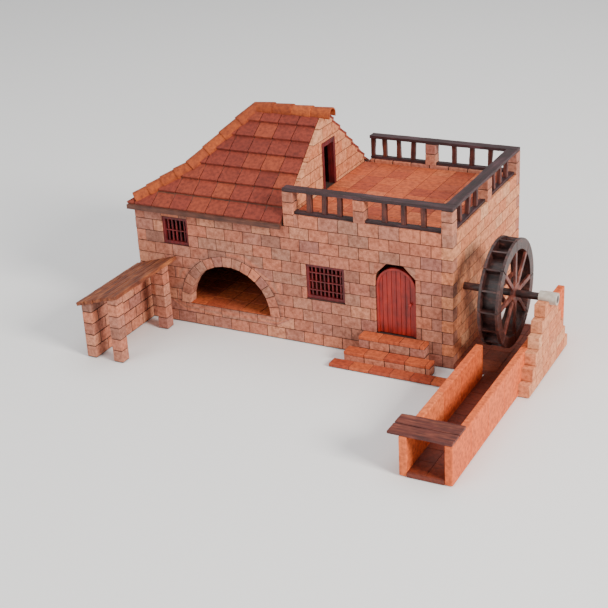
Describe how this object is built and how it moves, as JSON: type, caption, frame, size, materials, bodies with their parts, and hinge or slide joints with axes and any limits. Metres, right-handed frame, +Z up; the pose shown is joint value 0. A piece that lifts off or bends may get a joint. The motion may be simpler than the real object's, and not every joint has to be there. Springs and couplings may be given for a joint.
{
  "type": "model watermill",
  "caption": "Small ceramic-brick model of a watermill: half-hipped tiled house with roof terrace, lean-to, water race and turning wheel.",
  "frame": {"origin": "centre of the bottom of the whole model's box, on the ground", "axes": "+X along the house front from the lean-to to the water wheel, +Y from the front to the back, +Z up"},
  "size_m": [0.316, 0.276, 0.1535],
  "materials": {
    "brick_pink": "fired clay, matt",
    "brick_peach": "fired clay, matt",
    "roof_tile": "fired clay, matt",
    "ridge_tile": "fired clay, matt",
    "floor_tile": "fired clay, matt",
    "slab": "fired clay, matt",
    "rail_wood": "stained, matt",
    "plank_wood": "stained, matt",
    "dark_wood": "stained, satin",
    "red_wood": "stained, satin",
    "sleeve": "matt"
  },
  "bodies": {
    "house": {"ground_floor": "floor_tile", "front_wall_left": "brick_pink", "arch_ring_bricks": "brick_pink", "front_wall_middle": "brick_pink", "front_wall_door_sill": "brick_pink", "front_wall_door_head": "brick_pink", "front_wall_right": "brick_pink", "left_wall": "brick_pink", "back_wall_left": "brick_pink", "back_wall_right": "brick_pink", "right_wall": "brick_peach", "upper_floor": "floor_tile", "attic_floor": "floor_tile", "terrace_floor": "floor_tile", "gable_wall": "brick_peach", "attic_door_frame": "red_wood", "upper_window_frame": "red_wood", "large_window_frame": "red_wood", "step_top": "floor_tile", "step_middle": "floor_tile", "step_bottom": "floor_tile", "roof_front": "roof_tile", "roof_back": "roof_tile", "roof_hip": "roof_tile", "ridge_tiles": "ridge_tile", "hip_tiles_front": "ridge_tile", "hip_tiles_back": "ridge_tile", "terrace_posts": "brick_pink", "top_rail_front": "rail_wood", "top_rail_side": "rail_wood", "top_rail_back": "rail_wood", "front_balusters_left": "rail_wood", "front_balusters_right": "rail_wood", "side_balusters_front": "rail_wood", "side_balusters_back": "rail_wood", "back_balusters_left": "rail_wood", "back_balusters_right": "rail_wood", "leanto_wall": "brick_pink", "leanto_pillars": "brick_pink", "leanto_roof": "plank_wood", "race_floor": "floor_tile", "race_left_wall": "slab", "race_right_wall": "slab", "footbridge_planks": "plank_wood", "bearing_wall": "brick_peach", "axle_sleeve": "sleeve"},
    "door": {"door_leaf": "red_wood"},
    "wheel": {"wheel_inner_rim": "dark_wood", "wheel_outer_rim": "dark_wood", "wheel_buckets": "dark_wood", "wheel_inner_spokes": "dark_wood", "wheel_outer_spokes": "dark_wood", "axle": "dark_wood"}
  },
  "joints": [
    {"name": "wheel_spin", "type": "hinge", "parent": "house", "child": "wheel", "pos_m": [0.123, 0.02, 0.053], "axis": [1, 0, 0], "continuous": true},
    {"name": "door_hinge", "type": "hinge", "parent": "house", "child": "door", "pos_m": [0.03775, 0, 0.03], "axis": [0, 0, -1], "range_deg": [0, 100]}
  ]
}
